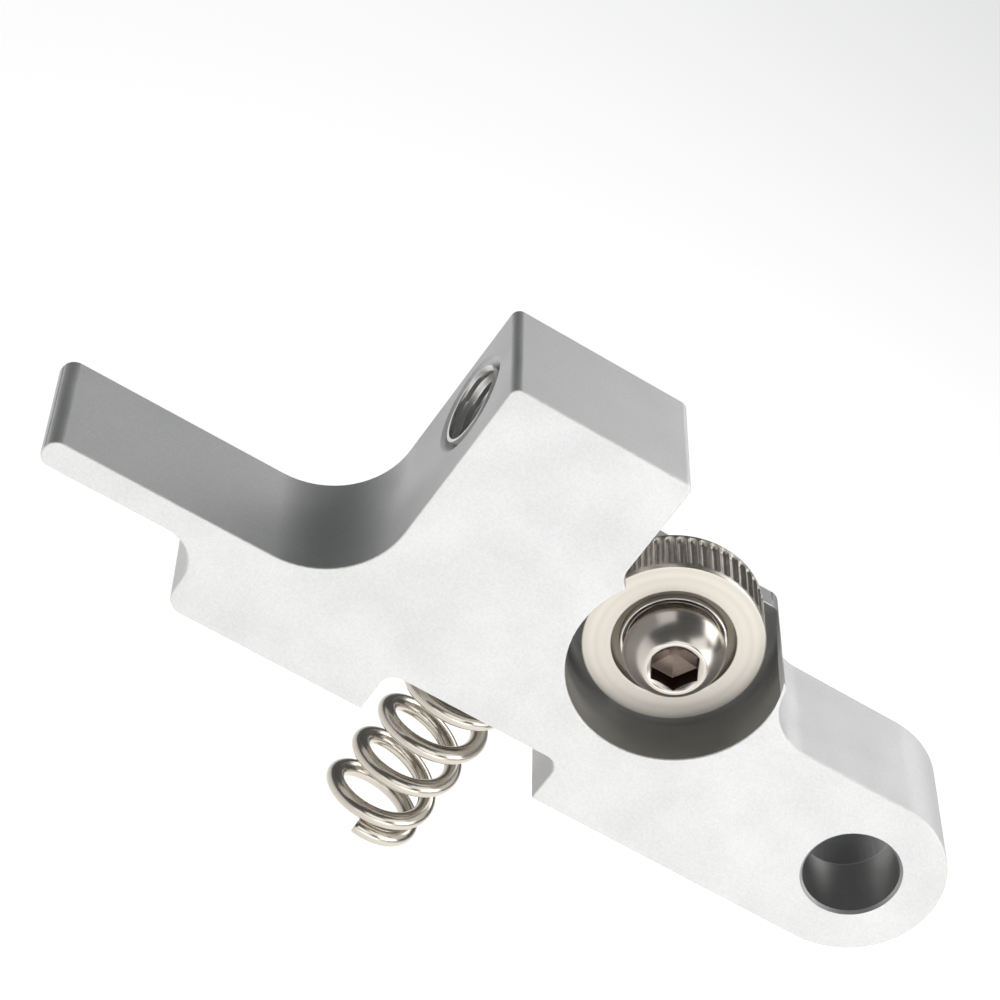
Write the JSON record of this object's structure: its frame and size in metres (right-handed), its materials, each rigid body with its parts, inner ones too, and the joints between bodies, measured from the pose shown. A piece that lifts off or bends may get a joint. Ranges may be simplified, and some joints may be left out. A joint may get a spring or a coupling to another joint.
{
  "type": "extruder idler lever assembly",
  "caption": "Hinged aluminium idler lever with a thumb tab, toothed idler gear on a ball bearing, tube coupling hole and pressure spring.",
  "frame": {"origin": "centre of the pivot bore at half the lever's thickness", "axes": "+X from the thumb tab towards the pivot, +Y from the gear side to the plain rear face, +Z from the spring side up towards the coupling block; the pivot and gear axes run along Y"},
  "size_m": [0.0675, 0.0098, 0.0359],
  "materials": {
    "lever": "fine bead-blasted silver anodised",
    "gear": "turned satin steel face, polished tooth grooves",
    "race": "ground and polished bearing steel",
    "ball": "mirror polished steel",
    "cage": "pressed steel",
    "shield": "pressed satin steel",
    "screw": "polished nickel",
    "spacer": "turned steel",
    "spring": "nickel-plated drawn wire"
  },
  "bodies": {
    "lever": {"lever_arm": "lever", "axle_screw": "screw", "spacer_front": "spacer", "spacer_rear": "spacer", "bearing_inner_race": "race"},
    "idler": {"idler_gear": "gear", "bearing_outer_race": "race", "shield_front": "shield", "shield_rear": "shield", "snap_ring_front": "shield", "snap_ring_rear": "shield"},
    "ball_set": {"bearing_cage": "cage", "ball_1": "ball", "ball_2": "ball", "ball_3": "ball", "ball_4": "ball", "ball_5": "ball", "ball_6": "ball", "ball_7": "ball"},
    "spring": {"spring": "spring"}
  },
  "joints": [
    {"name": "idler_spin", "type": "hinge", "parent": "lever", "child": "idler", "pos_m": [-0.0191, 0, 0.0072], "axis": [0, 1, 0], "continuous": true},
    {"name": "ball_orbit", "type": "hinge", "parent": "lever", "child": "ball_set", "pos_m": [-0.0191, 0, 0.0072], "axis": [0, 1, 0], "continuous": true},
    {"name": "spring_press", "type": "slide", "parent": "lever", "child": "spring", "axis": [0, 0, 1], "range_m": [0, 0.006], "stiffness_N_per_m": 40, "deforming": ["spring"]}
  ],
  "couplings": [
    {"joint": "ball_orbit", "follows": "idler_spin", "ratio": 0.5818}
  ]
}
